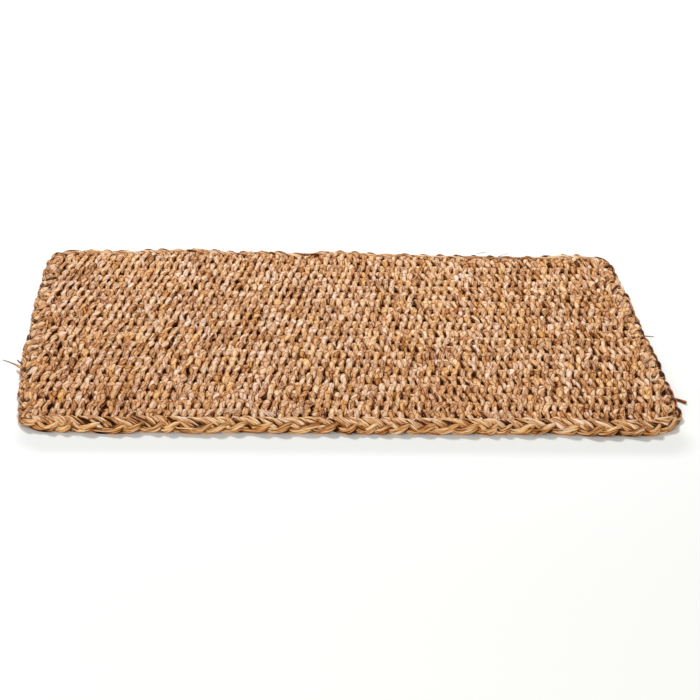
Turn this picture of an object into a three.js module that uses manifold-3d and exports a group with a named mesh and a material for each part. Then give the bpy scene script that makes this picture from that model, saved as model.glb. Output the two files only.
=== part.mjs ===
// A woven esparto rug, 1800 by 1200 mm, lying flat on a floor: a field of thick esparto cords
// inside a three-strand plait that is laced to it all round, and a few loose straw ends.
// Millimetres, +Z up. The origin is the middle of the underside, +X runs along the front edge
// and +Y from the front edge to the back edge.

import * as THREE from "three";
import { mergeVertices } from "three/addons/utils/BufferGeometryUtils.js";
import Module from "manifold-3d";

// Driving dimensions
const RUG_LENGTH = 1800;
const RUG_DEPTH = 1200;
const PLAIT_WIDTH = 50;
const PLAIT_LUMPS = 102;
const STATIONS_PER_LUMP = 5;
const FIELD_ROWS = 21;
const STEPS_PER_ROW = 4;
const FIELD_COLUMNS = 12;
const ROW_CREST = 22;
const ROW_HOLLOW = 17;
const LIFT_REACH = 170;
const SEAM_GAP = 0.4;
const MERGE_WITHIN = 0.001;

// The rows wander sideways and the field rises and falls a little, in long waves.
const WANDER = { height: 4, waveX: 1650, waveY: 2500 };
const UNEVEN = { height: 0.8, waveX: 1070, waveY: -565, beatX: 2070, beatY: 1320 };

const HALF_LENGTH = RUG_LENGTH / 2;
const HALF_DEPTH = RUG_DEPTH / 2;
const ROW_PITCH = (RUG_DEPTH - 2 * PLAIT_WIDTH) / FIELD_ROWS;

// The corners of the rug, counter-clockwise, with the outer radius that the plait turns in.
const CORNERS = [
  { corner: "front left", x: -1, y: -1, radius: 64 },
  { corner: "front right", x: 1, y: -1, radius: 110 },
  { corner: "back right", x: 1, y: 1, radius: 56 },
  { corner: "back left", x: -1, y: 1, radius: 80 },
];

// How far the two sides stand out past a straight line, from the front to the back.
const SIDE_BOW = [
  { y: -600, left: -6, right: -14 },
  { y: -480, left: -6, right: -8 },
  { y: -380, left: 2, right: -1 },
  { y: -240, left: 12, right: 0 },
  { y: -120, left: 12, right: 4 },
  { y: 40, left: 1, right: -3 },
  { y: 160, left: 1, right: 0 },
  { y: 280, left: -3, right: 7 },
  { y: 400, left: -9, right: 3 },
  { y: 520, left: -12, right: 3 },
  { y: 600, left: -16, right: 2 },
];

// How far the front and back edges stand out, and how high the back edge lifts, left to right.
const END_BOW = [
  { x: -900, front: -6, back: -8, lift: 0 },
  { x: -760, front: -3, back: 0, lift: 0 },
  { x: -650, front: 5, back: 0, lift: 1 },
  { x: -540, front: -5, back: 5, lift: 4 },
  { x: -430, front: 2, back: 6, lift: 7 },
  { x: -300, front: -6, back: 2, lift: 1 },
  { x: -200, front: -1, back: 4, lift: 4 },
  { x: -110, front: -5, back: -1, lift: 0 },
  { x: 30, front: -1, back: 5, lift: 8 },
  { x: 160, front: -2, back: 2, lift: 1 },
  { x: 360, front: -2, back: 0, lift: 0 },
  { x: 540, front: -6, back: -5, lift: 0 },
  { x: 660, front: 5, back: -4, lift: 1 },
  { x: 770, front: 2, back: 4, lift: 6 },
  { x: 900, front: -8, back: -4, lift: 1 },
];

// The plait's section. "across" runs outward from its middle line. The strands swell once a
// lump, by "out" sideways and "up" in height, and "later" is where in the lump that happens.
const PLAIT_SECTION = [
  { place: "inner foot", across: -25, height: 0, out: 0, up: 0, later: 0 },
  { place: "outer foot", across: 16, height: 0, out: 2, up: 0, later: 0 },
  { place: "outer belly", across: 22, height: 10, out: 3, up: 1, later: 0 },
  { place: "outer crown", across: 14, height: 21, out: 2, up: 3, later: 0.12 },
  { place: "middle groove", across: 1, height: 19, out: 2, up: 1.5, later: 0.4 },
  { place: "inner crown", across: -12, height: 21.5, out: 0, up: 3, later: 0.62 },
  { place: "inner shoulder", across: -25, height: 15, out: 0, up: 2, later: 0.5 },
];

// The plait lies flat along the front. It leans outward along the sides, and more along the
// back, so it covers less of the rug there. "cover" is how much of its breadth shows from
// above, inward of the pivot, and "rise" is how much of its height.
const PLAIT_PIVOT = 16;
const PLAIT_LEAN = {
  front: { cover: 1, rise: 1 },
  side: { cover: 0.66, rise: 1 },
  back: { cover: 0.4, rise: 0.84 },
};

// Straw ends that have worked loose from the plait and lie level on the floor beside it.
const LOOSE_ENDS = [
  { name: "left_long", root: [-906.6, -239], tip: [-966, -178], bow: 5, rootThick: 5, tipThick: 1.6 },
  { name: "left_short", root: [-905, -225.4], tip: [-927, -172], bow: -2, rootThick: 4, tipThick: 2.4 },
  { name: "right_thick", root: [893.8, -378], tip: [931, -412], bow: 2, rootThick: 7, tipThick: 8 },
  { name: "right_thin", root: [891.6, 32.7], tip: [936, 24], bow: 3, rootThick: 3.4, tipThick: 1.6 },
];
const LOOSE_END_SIDES = 6;
const LOOSE_END_STEPS = 5;

// Esparto is a straw-coloured grass. The plait's strands are a little more golden.
const FIELD_STRAW = new THREE.MeshStandardMaterial({ color: 0xbc8f6b, roughness: 0.85, metalness: 0 });
const PLAIT_STRAW = new THREE.MeshStandardMaterial({ color: 0xc49360, roughness: 0.75, metalness: 0 });
const LOOSE_STRAW = new THREE.MeshStandardMaterial({ color: 0xb98a5c, roughness: 0.8, metalness: 0 });

const wasm = await Module();
wasm.setup();

// A table's column at a place between two of its rows, eased from one row to the next.
function between(rows, key, at, column) {
  const next = rows.findIndex((row) => row[key] > at);
  if (next === 0) return rows[0][column];
  if (next < 0) return rows[rows.length - 1][column];
  const before = rows[next - 1];
  const share = THREE.MathUtils.smoothstep(at, before[key], rows[next][key]);
  return THREE.MathUtils.lerp(before[column], rows[next][column], share);
}

// Where a point of the plain rectangular rug lies on the real, uneven one.
function settled(x, y, z) {
  const sideBow = between(SIDE_BOW, "y", y, x < 0 ? "left" : "right");
  const endBow = between(END_BOW, "x", x, y < 0 ? "front" : "back");
  const nearBack = THREE.MathUtils.smoothstep(y, HALF_DEPTH - LIFT_REACH, HALF_DEPTH);
  return new THREE.Vector3(
    x * (1 + sideBow / HALF_LENGTH),
    y * (1 + endBow / HALF_DEPTH),
    z + between(END_BOW, "x", x, "lift") * nearBack,
  );
}

// A closed geometry from its points and its four-cornered faces.
function closedGeometry(points, faces) {
  const geometry = new THREE.BufferGeometry().setFromPoints(points);
  geometry.setIndex(faces.flatMap(([a, b, c, d]) => [a, b, c, a, c, d]));
  return geometry;
}

// A closed geometry as a solid that can be cut.
function solidOf(geometry) {
  const bare = geometry.clone();
  bare.deleteAttribute("normal");
  bare.deleteAttribute("uv");
  const merged = mergeVertices(bare, MERGE_WITHIN);
  return new wasm.Manifold(
    new wasm.Mesh({
      numProp: 3,
      vertProperties: new Float32Array(merged.attributes.position.array),
      triVerts: new Uint32Array(merged.index.array),
    }),
  );
}

// A cut solid as a geometry.
function geometryOf(solid) {
  const mesh = solid.getMesh();
  const geometry = new THREE.BufferGeometry();
  geometry.setAttribute("position", new THREE.BufferAttribute(mesh.vertProperties, 3));
  geometry.setIndex(new THREE.BufferAttribute(mesh.triVerts, 1));
  return geometry;
}

function namedMesh(name, geometry, material) {
  geometry.computeVertexNormals();
  const mesh = new THREE.Mesh(geometry, material);
  mesh.name = name;
  return mesh;
}

// The line down the middle of the plait, counter-clockwise from the front left corner.
function plaitMiddleLine() {
  const line = new THREE.Path();
  CORNERS.forEach(({ x, y, radius }, turn) => {
    const start = Math.PI * (1 + turn / 2);
    line.absarc(
      x * (HALF_LENGTH - radius),
      y * (HALF_DEPTH - radius),
      radius - PLAIT_WIDTH / 2,
      start,
      start + Math.PI / 2,
    );
  });
  return line.closePath();
}

const middleLine = plaitMiddleLine();
const stationCount = PLAIT_LUMPS * STATIONS_PER_LUMP;
const stations = Array.from({ length: stationCount }, (_, number) => {
  const along = middleLine.getTangent(number / stationCount);
  return {
    middle: middleLine.getPoint(number / stationCount),
    outward: new THREE.Vector2(along.y, -along.x),
    lump: number / STATIONS_PER_LUMP,
  };
});

// A point of a station's section, "across" outward from the middle line.
function stationPoint(station, across, height) {
  const { middle, outward } = station;
  return settled(middle.x + outward.x * across, middle.y + outward.y * across, height);
}

// How far across the plait a place of its section lies, where the plait leans outward.
function leaningAcross(station, across) {
  const end = station.outward.y < 0 ? PLAIT_LEAN.front : PLAIT_LEAN.back;
  const cover = THREE.MathUtils.lerp(PLAIT_LEAN.side.cover, end.cover, station.outward.y ** 2);
  return across + (1 - cover) * Math.max(PLAIT_PIVOT - across, 0);
}

// How high a place of the plait's section lies, where the plait leans outward.
function leaningHeight(station, height) {
  const end = station.outward.y < 0 ? PLAIT_LEAN.front : PLAIT_LEAN.back;
  return height * THREE.MathUtils.lerp(PLAIT_LEAN.side.rise, end.rise, station.outward.y ** 2);
}

// One closed ring: the section carried round the rug, with the strands' lumps in its points.
function plait() {
  const points = stations.flatMap((station) =>
    PLAIT_SECTION.map(({ across, height, out, up, later }) => {
      const swell = Math.cos(2 * Math.PI * (station.lump - later));
      const leaning = leaningAcross(station, across);
      return stationPoint(station, leaning + out * swell, leaningHeight(station, height + up * swell));
    }),
  );
  const width = PLAIT_SECTION.length;
  const faces = [];
  for (let s = 0; s < stationCount; s++) {
    const here = s * width;
    const next = ((s + 1) % stationCount) * width;
    for (let p = 0; p < width; p++) {
      const q = (p + 1) % width;
      faces.push([here + p, next + p, next + q, here + q]);
    }
  }
  return closedGeometry(points, faces);
}

// The height of the field's top, ribbed once a row over the hidden cross cords.
function fieldHeight(x, y) {
  const turn = 2 * Math.PI;
  const wander = WANDER.height * Math.sin(turn * (x / WANDER.waveX + y / WANDER.waveY));
  const row = (y + HALF_DEPTH - PLAIT_WIDTH + wander) / ROW_PITCH - 0.5;
  const crest = 0.5 + 0.5 * Math.cos(turn * row);
  const wave = Math.sin(turn * (x / UNEVEN.waveX + y / UNEVEN.waveY));
  const beat = Math.cos(turn * (x / UNEVEN.beatX + y / UNEVEN.beatY));
  return THREE.MathUtils.lerp(ROW_HOLLOW, ROW_CREST, crest) + UNEVEN.height * wave * beat;
}

// The ribbed slab of woven cords, a little larger than the field that is cut from it.
function fieldSlab() {
  const columns = FIELD_COLUMNS;
  const rows = STEPS_PER_ROW * FIELD_ROWS + 6;
  const slabLength = RUG_LENGTH - PLAIT_WIDTH;
  const slabDepth = (rows * ROW_PITCH) / STEPS_PER_ROW;
  const points = [];
  for (const isTop of [false, true]) {
    for (let r = 0; r <= rows; r++) {
      for (let c = 0; c <= columns; c++) {
        const x = slabLength * (c / columns - 0.5);
        const y = slabDepth * (r / rows - 0.5);
        points.push(settled(x, y, isTop ? fieldHeight(x, y) : 0));
      }
    }
  }
  const top = (rows + 1) * (columns + 1);
  const at = (c, r) => r * (columns + 1) + c;
  const faces = [];
  for (let r = 0; r < rows; r++) {
    for (let c = 0; c < columns; c++) {
      faces.push([at(c, r), at(c, r + 1), at(c + 1, r + 1), at(c + 1, r)]);
      faces.push([top + at(c, r), top + at(c + 1, r), top + at(c + 1, r + 1), top + at(c, r + 1)]);
    }
  }
  const rim = (a, b) => faces.push([a, b, top + b, top + a]);
  for (let c = 0; c < columns; c++) {
    rim(at(c, 0), at(c + 1, 0));
    rim(at(c + 1, rows), at(c, rows));
  }
  for (let r = 0; r < rows; r++) {
    rim(at(0, r + 1), at(0, r));
    rim(at(columns, r), at(columns, r + 1));
  }
  return closedGeometry(points, faces);
}

// The field: the slab cut to the line that the plait's inner face follows, a seam away from it.
function field() {
  const foot = PLAIT_SECTION[0].across;
  const outline = stations.map((station) =>
    stationPoint(station, leaningAcross(station, foot) - SEAM_GAP, 0),
  );
  const cutter = new THREE.ExtrudeGeometry(new THREE.Shape(outline), {
    depth: 4 * ROW_CREST,
    bevelEnabled: false,
  });
  cutter.translate(0, 0, -ROW_CREST);
  return geometryOf(solidOf(fieldSlab()).intersect(solidOf(cutter)));
}

// One loose end: a tapering straw, bent a little, lying along the floor.
function looseEnd({ root, tip, bow, rootThick, tipThick }) {
  const start = new THREE.Vector2(...root);
  const end = new THREE.Vector2(...tip);
  const along = end.clone().sub(start).normalize();
  const sideways = new THREE.Vector2(-along.y, along.x);
  const knee = start.clone().add(end).multiplyScalar(0.5).addScaledVector(sideways, bow);
  const line = new THREE.QuadraticBezierCurve(start, knee, end);
  const [tipRadius, rootRadius] = [tipThick / 2, rootThick / 2];
  const straw = new THREE.CylinderGeometry(tipRadius, rootRadius, 1, LOOSE_END_SIDES, LOOSE_END_STEPS);
  const flatToFlat = Math.cos(Math.PI / LOOSE_END_SIDES);
  const spots = straw.attributes.position;
  for (let v = 0; v < spots.count; v++) {
    const share = spots.getY(v) + 0.5;
    const floorToMiddle = THREE.MathUtils.lerp(rootRadius, tipRadius, share) * flatToFlat;
    const spot = line.getPoint(share).addScaledVector(sideways, spots.getZ(v));
    spots.setXYZ(v, spot.x, spot.y, floorToMiddle + spots.getX(v));
  }
  return straw;
}

const rug = new THREE.Group();
rug.add(namedMesh("woven_field", field(), FIELD_STRAW));
rug.add(namedMesh("border_plait", plait(), PLAIT_STRAW));
for (const end of LOOSE_ENDS) {
  rug.add(namedMesh(`loose_end_${end.name}`, looseEnd(end), LOOSE_STRAW));
}

export default rug;
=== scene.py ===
# A woven esparto rug, 1.8 by 1.2 m, lying flat on a pale studio floor. It is built around the
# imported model, in metres: +X runs along the front edge, +Y from front to back, +Z up.

import math

import bpy
import numpy as np
from mathutils import Matrix, Vector


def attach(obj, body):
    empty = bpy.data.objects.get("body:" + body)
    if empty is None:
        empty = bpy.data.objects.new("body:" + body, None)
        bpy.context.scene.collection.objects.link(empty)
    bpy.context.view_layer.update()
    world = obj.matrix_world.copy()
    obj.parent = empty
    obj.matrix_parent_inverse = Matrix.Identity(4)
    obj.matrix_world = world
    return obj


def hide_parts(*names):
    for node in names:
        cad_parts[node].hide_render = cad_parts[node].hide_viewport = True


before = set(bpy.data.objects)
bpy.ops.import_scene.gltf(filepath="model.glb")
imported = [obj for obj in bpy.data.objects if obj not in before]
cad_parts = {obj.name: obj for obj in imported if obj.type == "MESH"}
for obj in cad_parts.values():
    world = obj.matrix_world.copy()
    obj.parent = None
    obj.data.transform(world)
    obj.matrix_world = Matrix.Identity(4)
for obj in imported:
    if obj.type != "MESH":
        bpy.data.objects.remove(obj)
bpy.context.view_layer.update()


# The camera
# It stands in front of the rug, a little left of its middle, and looks down on it at 25
# degrees through a long lens, as the photograph does.

CAMERA_PLACE = Vector((-0.43747, -4.9628, 2.32313))
CAMERA_TURN = 0.09294
CAMERA_DIP = 0.44251
CAMERA_ROLL = 0.04958
LENS_MM = 96.86
SENSOR_MM = 36.0

ahead = Vector((
    math.sin(CAMERA_TURN) * math.cos(CAMERA_DIP),
    math.cos(CAMERA_TURN) * math.cos(CAMERA_DIP),
    -math.sin(CAMERA_DIP),
))
level_right = Vector((math.cos(CAMERA_TURN), -math.sin(CAMERA_TURN), 0))
level_up = level_right.cross(ahead)
camera_right = level_right * math.cos(CAMERA_ROLL) + level_up * math.sin(CAMERA_ROLL)
camera_up = level_up * math.cos(CAMERA_ROLL) - level_right * math.sin(CAMERA_ROLL)

camera_lens = bpy.data.cameras.new("camera")
camera_lens.lens = LENS_MM
camera_lens.sensor_width = SENSOR_MM
camera = bpy.data.objects.new("camera", camera_lens)
camera.matrix_world = Matrix.Translation(CAMERA_PLACE) @ Matrix(
    (camera_right, camera_up, -ahead)
).transposed().to_4x4()
bpy.context.scene.collection.objects.link(camera)
bpy.context.scene.camera = camera


# The studio
# A pale floor, even light from all round and one soft lamp high behind the rug, which leaves a narrow
# shadow along the front edge, deepened there by a painted shadow in the floor's colour. A wide low lamp
# in front lights that edge.

FLOOR_HALF = 30.0
FLOOR_SHADE = 0.95
FLOOR_ROUGHNESS = 0.9
FLOOR_GLOSS = 0.1

# The floor's colour is painted greyer round a line along the rug's front edge, as a painted shadow, and
# fades to its own shade between two distances from that line.
FRONT_PAINTED_SHADOW = 0.80
FRONT_LINE_HALF = 0.80
FRONT_LINE_Y = -0.62
PAINTED_SHADOW_END = 0.05
FLOOR_SHADE_START = 0.12

ROOM_LIGHT = 0.50
ROOM_COLOUR = (0.965, 0.94, 0.85, 1)
LAMP_SIZE = 1.2
LAMP_PLACE = Vector((-0.5, 5.6, 5.2))
LAMP_POWER = 520
LAMP_COLOUR = (0.92, 0.96, 1.0)
FRONT_LAMP_SIZE = 3.0
FRONT_LAMP_PLACE = Vector((-1.8, -6.0, 1.9))
FRONT_LAMP_POWER = 170
FRONT_LAMP_COLOUR = (1, 1, 1)

floor_shape = bpy.data.meshes.new("floor")
floor_corners = [
    (x * FLOOR_HALF, y * FLOOR_HALF, 0) for x, y in ((-1, -1), (1, -1), (1, 1), (-1, 1))
]
floor_shape.from_pydata(floor_corners, [], [(0, 1, 2, 3)])
floor = bpy.data.objects.new("floor", floor_shape)
bpy.context.scene.collection.objects.link(floor)
floor_paint = bpy.data.materials.new("pale floor")
floor_paint.use_nodes = True
floor_surface = floor_paint.node_tree.nodes["Principled BSDF"]
floor_surface.inputs["Roughness"].default_value = FLOOR_ROUGHNESS
floor_surface.inputs["Specular IOR Level"].default_value = FLOOR_GLOSS
floor_tree = floor_paint.node_tree
from_front = floor_tree.nodes.new("ShaderNodeTexCoord").outputs["Object"]
for operation, amount in (
    ("SUBTRACT", (0, FRONT_LINE_Y, 0)),
    ("ABSOLUTE", (0, 0, 0)),
    ("SUBTRACT", (FRONT_LINE_HALF, 0, 0)),
    ("MAXIMUM", (0, 0, 0)),
    ("LENGTH", (0, 0, 0)),
):
    sum_node = floor_tree.nodes.new("ShaderNodeVectorMath")
    sum_node.operation = operation
    sum_node.inputs[1].default_value = amount
    floor_tree.links.new(from_front, sum_node.inputs[0])
    from_front = sum_node.outputs["Value" if operation == "LENGTH" else "Vector"]
# Painted shadow: the floor's colour fades from the darker shade near the front line to its own.
painted_shadow_fade = floor_tree.nodes.new("ShaderNodeMapRange")
painted_shadow_fade.interpolation_type = "SMOOTHSTEP"
painted_shadow_fade.inputs["From Min"].default_value = PAINTED_SHADOW_END
painted_shadow_fade.inputs["From Max"].default_value = FLOOR_SHADE_START
painted_shadow_fade.inputs["To Min"].default_value = FRONT_PAINTED_SHADOW
painted_shadow_fade.inputs["To Max"].default_value = FLOOR_SHADE
floor_tree.links.new(from_front, painted_shadow_fade.inputs["Value"])
floor_tree.links.new(painted_shadow_fade.outputs["Result"], floor_surface.inputs["Base Color"])
floor_shape.materials.append(floor_paint)

room = bpy.data.worlds.new("studio")
room.use_nodes = True
room.node_tree.nodes["Background"].inputs["Color"].default_value = ROOM_COLOUR
room.node_tree.nodes["Background"].inputs["Strength"].default_value = ROOM_LIGHT
bpy.context.scene.world = room


def soft_lamp(name, place, size, power, colour):
    """A square soft lamp that points at the middle of the rug."""
    lamp = bpy.data.lights.new(name, "AREA")
    lamp.size = size
    lamp.energy = power
    lamp.color = colour
    stand = bpy.data.objects.new(name, lamp)
    stand.location = place
    stand.rotation_euler = (-place).to_track_quat("-Z", "Y").to_euler()
    bpy.context.scene.collection.objects.link(stand)


bpy.context.scene.view_settings.view_transform = "Standard"
soft_lamp("lamp_behind", LAMP_PLACE, LAMP_SIZE, LAMP_POWER, LAMP_COLOUR)
soft_lamp("lamp_front", FRONT_LAMP_PLACE, FRONT_LAMP_SIZE, FRONT_LAMP_POWER, FRONT_LAMP_COLOUR)


# The hidden cross cords
# 21 esparto cords run from side to side in the middle of the field's thickness. The long
# cords are woven over and under them, and they show only in the gaps between the lumps.

RUG_LENGTH = 1.800
RUG_DEPTH = 1.200
PLAIT_WIDTH = 0.050
FIELD_ROWS = 21
ROW_PITCH = (RUG_DEPTH - 2 * PLAIT_WIDTH) / FIELD_ROWS
FIELD_MIDDLE_HEIGHT = 0.0112
CROSS_CORD_HALF_WIDTH = 0.0085
CROSS_CORD_HALF_HEIGHT = 0.0030
CROSS_CORD_STEPS = 60
CROSS_CORD_SIDES = 8

# The cross cords and the field stop this far inside the rug's left and right edges.
SIDE_REACH = 0.036
FIELD_HALF_WIDTH = RUG_LENGTH / 2 - SIDE_REACH

# The rows wander to the front and the back by this height, in waves this long either way.
WANDER = {"height": 0.004, "wave_x": 1.650, "wave_y": 2.500}

# How far the two sides stand out past a straight line, from the front to the back.
SIDE_BOW = [
    {"y": -0.600, "left": -0.012, "right": -0.016},
    {"y": -0.480, "left": -0.010, "right": -0.011},
    {"y": -0.380, "left": -0.001, "right": -0.005},
    {"y": -0.240, "left": 0.004, "right": -0.004},
    {"y": -0.120, "left": 0.007, "right": 0.001},
    {"y": 0.040, "left": -0.001, "right": -0.003},
    {"y": 0.160, "left": 0.001, "right": 0.000},
    {"y": 0.280, "left": -0.003, "right": 0.007},
    {"y": 0.400, "left": -0.009, "right": 0.003},
    {"y": 0.520, "left": -0.012, "right": 0.003},
    {"y": 0.600, "left": -0.016, "right": 0.002},
]

# How far the front and back edges stand out, and how high the back edge lifts. The lift starts
# this far inside the back edge.
LIFT_REACH = 0.170
END_BOW = [
    {"x": -0.900, "front": -0.006, "back": -0.008, "lift": 0.000},
    {"x": -0.760, "front": -0.003, "back": 0.000, "lift": 0.000},
    {"x": -0.650, "front": 0.005, "back": 0.000, "lift": 0.001},
    {"x": -0.540, "front": -0.005, "back": 0.005, "lift": 0.004},
    {"x": -0.430, "front": 0.002, "back": 0.006, "lift": 0.007},
    {"x": -0.300, "front": -0.006, "back": 0.002, "lift": 0.001},
    {"x": -0.200, "front": -0.001, "back": 0.004, "lift": 0.004},
    {"x": -0.110, "front": -0.005, "back": -0.001, "lift": 0.000},
    {"x": 0.030, "front": -0.001, "back": 0.005, "lift": 0.008},
    {"x": 0.160, "front": -0.002, "back": 0.002, "lift": 0.001},
    {"x": 0.360, "front": -0.002, "back": 0.000, "lift": 0.000},
    {"x": 0.540, "front": -0.006, "back": -0.005, "lift": 0.000},
    {"x": 0.660, "front": 0.005, "back": -0.004, "lift": 0.001},
    {"x": 0.770, "front": 0.002, "back": 0.004, "lift": 0.006},
    {"x": 0.900, "front": -0.008, "back": -0.004, "lift": 0.001},
]


def smooth_step(share):
    share = np.clip(share, 0, 1)
    return share * share * (3 - 2 * share)


def between(rows, key, at, column):
    """A column of a table at a place between two of its rows, eased from row to row."""
    keys = np.array([row[key] for row in rows])
    values = np.array([row[column] for row in rows])
    at = np.clip(at, keys[0], keys[-1])
    after = np.clip(np.searchsorted(keys, at, side="right"), 1, len(rows) - 1)
    share = smooth_step((at - keys[after - 1]) / (keys[after] - keys[after - 1]))
    return values[after - 1] + (values[after] - values[after - 1]) * share


def settled(points):
    """Where points of the plain rectangular rug lie on the real, uneven one."""
    x, y, z = points[..., 0], points[..., 1], points[..., 2]
    side = np.where(x < 0, between(SIDE_BOW, "y", y, "left"), between(SIDE_BOW, "y", y, "right"))
    end = np.where(y < 0, between(END_BOW, "x", x, "front"), between(END_BOW, "x", x, "back"))
    near_back = smooth_step((y - RUG_DEPTH / 2 + LIFT_REACH) / LIFT_REACH)
    lift = between(END_BOW, "x", x, "lift") * near_back
    wide = x * (1 + side / (RUG_LENGTH / 2))
    deep = y * (1 + end / (RUG_DEPTH / 2))
    return np.stack([wide, deep, z + lift], axis=-1)


def row_wander(x, y):
    """How far the weave's rows wander out of line, in long waves."""
    return WANDER["height"] * np.sin(2 * math.pi * (x / WANDER["wave_x"] + y / WANDER["wave_y"]))


def straw_rings(centres, facing, half_width, half_height, sides, closed, relief=0.0, twist=0.0, plies=3):
    """The rings of points of many cords at once, as [cord, station, side, xyz].

    A cord's flat side faces along "facing". Its plies stand out by "relief" and twist round it."""
    if closed:
        along = np.roll(centres, -1, axis=1) - np.roll(centres, 1, axis=1)
    else:
        along = np.gradient(centres, axis=1)
    along = along / np.linalg.norm(along, axis=-1, keepdims=True)
    across = np.cross(along, facing)
    across = across / np.linalg.norm(across, axis=-1, keepdims=True)
    outward = np.cross(across, along)
    angle = 2 * math.pi * np.arange(sides) / sides
    twist = np.broadcast_to(twist, centres.shape[:2])[..., None]
    swell = 1 + relief * np.cos(plies * angle + twist)
    wide = np.broadcast_to(half_width, centres.shape[:2])[..., None] * np.cos(angle) * swell
    tall = np.broadcast_to(half_height, centres.shape[:2])[..., None] * np.sin(angle) * swell
    return (
        centres[:, :, None]
        + across[:, :, None] * wide[..., None]
        + outward[:, :, None] * tall[..., None]
    )


# Close to the floor the grass is painted darker, as painted shade where it meets the floor.
CONTACT_SHADE_HEIGHT = 0.0060
CONTACT_SHADE_DARK = 0.30

# The painted shade in the grooves between cords is this sharp: a higher power keeps the dark nearer to
# where two cords meet.
GROOVE_SHADE_POWER = 8

# Each cord takes its grain from another stretch of the pattern, this many metres further on.
GRAIN_STEP = 1.37


def cords_piece(name, rings, closed, tone, warmth, girth, slant, material, groove_shade=0.0, seam_shade=0.0):
    """One piece of many cords. "tone" and "warmth" are their colours at each station. "girth" is the
    breadth of grain that goes once round a cord, and "slant" how far it turns for each metre of length.
    "groove_shade" is how much darker a cord's two sides are painted, as painted shade where it meets its
    neighbours, and "seam_shade" how much darker the furrows between its plies are painted, as painted
    shade."""
    cords, stations, sides = rings.shape[:3]
    number = np.arange(cords * stations * sides).reshape(cords, stations, sides)
    here, there = (number, np.roll(number, -1, axis=1)) if closed else (number[:, :-1], number[:, 1:])
    walls = np.stack([here, there, np.roll(there, -1, axis=2), np.roll(here, -1, axis=2)], axis=-1)
    faces = walls.reshape(-1, 4).tolist()
    if not closed:
        faces += number[:, 0].tolist()
        faces += number[:, -1, ::-1].tolist()
    mesh = bpy.data.meshes.new(name)
    mesh.from_pydata(rings.reshape(-1, 3).tolist(), [], faces)

    middles = rings.mean(axis=2)
    steps = np.linalg.norm(np.roll(middles, -1, axis=1) - middles, axis=-1)
    length = np.cumsum(steps, axis=1) - steps
    stretches = here.shape[1]
    length_here = length[:, :stretches]
    length_there = length_here + steps[:, :stretches]
    side_share = np.arange(sides + 1) / sides * girth
    cord_start = (np.arange(cords) * GRAIN_STEP)[:, None, None]
    grain = np.zeros((*walls.shape[:3], 4, 2))
    corners = [(length_here, 0), (length_there, 0), (length_there, 1), (length_here, 1)]
    for corner, (along, turn) in enumerate(corners):
        grain[..., corner, 0] = side_share[turn : sides + turn] + slant * along[..., None]
        grain[..., corner, 1] = along[..., None] + cord_start
    grain_values = np.zeros(len(mesh.loops) * 2, np.float32)
    grain_values[: grain.size] = grain.ravel()
    mesh.uv_layers.new(name="grain").data.foreach_set("uv", grain_values)

    # Painted shade: a cord is darker at its two sides, in its ply furrows and close to the floor.
    side_shade = groove_shade * np.cos(2 * math.pi * np.arange(sides) / sides) ** GROOVE_SHADE_POWER
    shade = side_shade + seam_shade + CONTACT_SHADE_DARK * (1 - smooth_step(rings[..., 2] / CONTACT_SHADE_HEIGHT))
    for label, values, darker in (("tone", tone, shade), ("warmth", warmth, np.zeros_like(shade))):
        spread = np.broadcast_to(values, (cords, stations))[..., None] - darker
        attribute = mesh.attributes.new(label, "FLOAT", "POINT")
        attribute.data.foreach_set("value", spread.astype(np.float32).ravel())
    mesh.shade_smooth()
    mesh.materials.append(material)
    piece = bpy.data.objects.new(name, mesh)
    bpy.context.scene.collection.objects.link(piece)
    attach(piece, "root")
    return piece


def wire(tree, start, end):
    tree.links.new(start, end)


# The painted shade of the dark lines in the creases between a cord's blades, how much the blades differ
# in warmth and the fibres in tone, and what all of these add to the tone on average, which is taken off
# again.
EDGE_REACH = 0.15
EDGE_SHADE = 0.38
BLADE_WARMTH = 0.3
FIBRE_SHARE = 0.46
MEAN_LIFT = 0.780

# Fibres to a metre of grain, across and along a cord, and how their relief stands on the
# blades'.
FIBRE_SCALE = (1100, 55)
FIBRE_DETAIL = 2
FIBRE_RELIEF = 0.35
BUMP_STRENGTH = 0.8
BUMP_DEPTH = 0.0012


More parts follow.
